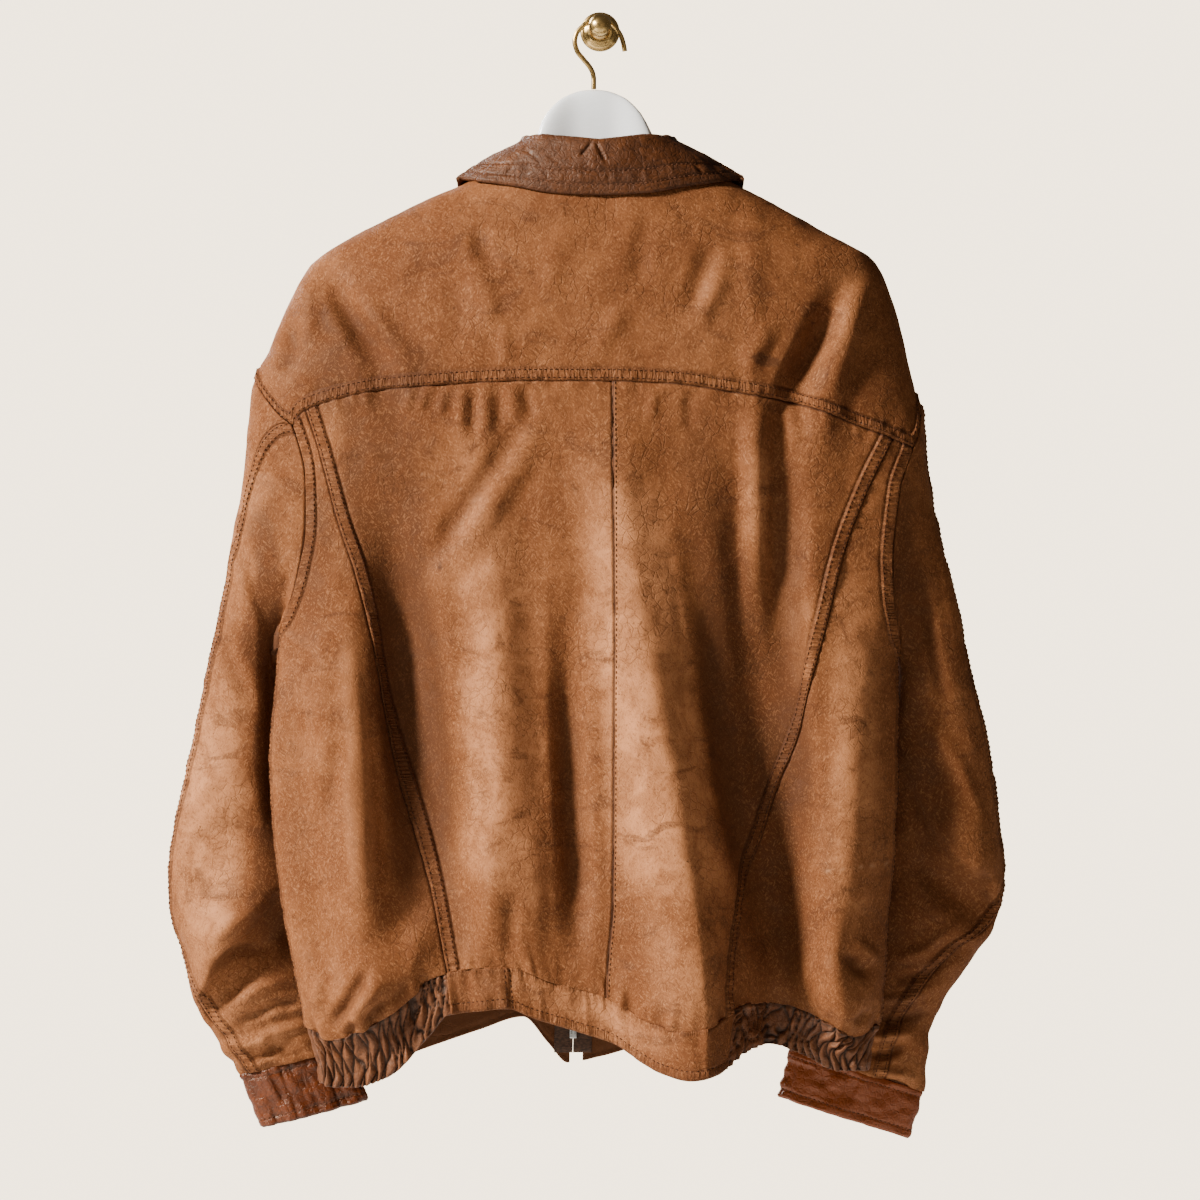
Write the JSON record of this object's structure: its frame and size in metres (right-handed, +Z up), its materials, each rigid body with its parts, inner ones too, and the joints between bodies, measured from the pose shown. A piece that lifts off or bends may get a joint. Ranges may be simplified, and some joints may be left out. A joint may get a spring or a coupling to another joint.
{
  "type": "leather blouson jacket on a dome-necked hanger over a wall knob",
  "caption": "Worn leather blouson hung by its hanger from a ball knob on a wall rosette: yoked back, zipped front, gathered waist, cuffed sleeves, turned-down collar.",
  "frame": {"origin": "centre of the rosette's back face, where the wall knob is fixed to the wall", "axes": "+Z up; +Y into the wall, so the jacket's back faces -Y into the room; +X to the right as seen from the room"},
  "size_m": [0.669, 0.1572, 0.91],
  "materials": {
    "tan_leather": "worn nubuck, dry and matt",
    "waistband_leather": "worn nubuck, rubbed at the edges",
    "gathered_leather": "dark gathered leather, half gloss",
    "cuff_leather": "rubbed reddish brown, half gloss",
    "collar_leather": "greased dark brown, half gloss",
    "zip_tape": "woven tape",
    "zip_metal": "dulled nickel",
    "hanger_white": "white satin over a wooden form",
    "brass": "polished, a little tarnished"
  },
  "bodies": {
    "jacket": {"back_yoke": "tan_leather", "back_left": "tan_leather", "back_right": "tan_leather", "side_back_left": "tan_leather", "side_back_right": "tan_leather", "front_left": "tan_leather", "front_right": "tan_leather", "sleeve_left_back": "tan_leather", "sleeve_left_front": "tan_leather", "sleeve_right_back": "tan_leather", "sleeve_right_front": "tan_leather", "waistband_back_left": "waistband_leather", "waistband_back_right": "waistband_leather", "waistband_front_left": "waistband_leather", "waistband_front_right": "waistband_leather", "waistband_left": "gathered_leather", "waistband_right": "gathered_leather", "cuff_left": "cuff_leather", "cuff_right": "cuff_leather", "collar": "collar_leather", "zip_tape_left": "zip_tape", "zip_tape_right": "zip_tape", "zip_box": "zip_metal", "zip_slider": "zip_metal", "hanger": "hanger_white", "hanger_hook": "brass", "wall_rosette": "brass", "wall_knob": "brass"},
    "pull_tab": {"zip_pull": "zip_metal"}
  },
  "joints": [
    {"name": "pull_tab_swing", "type": "hinge", "parent": "jacket", "child": "pull_tab", "pos_m": [-0.00467, -0.03004, -0.1829], "axis": [1, 0, 0], "range_deg": [0, 150]}
  ]
}
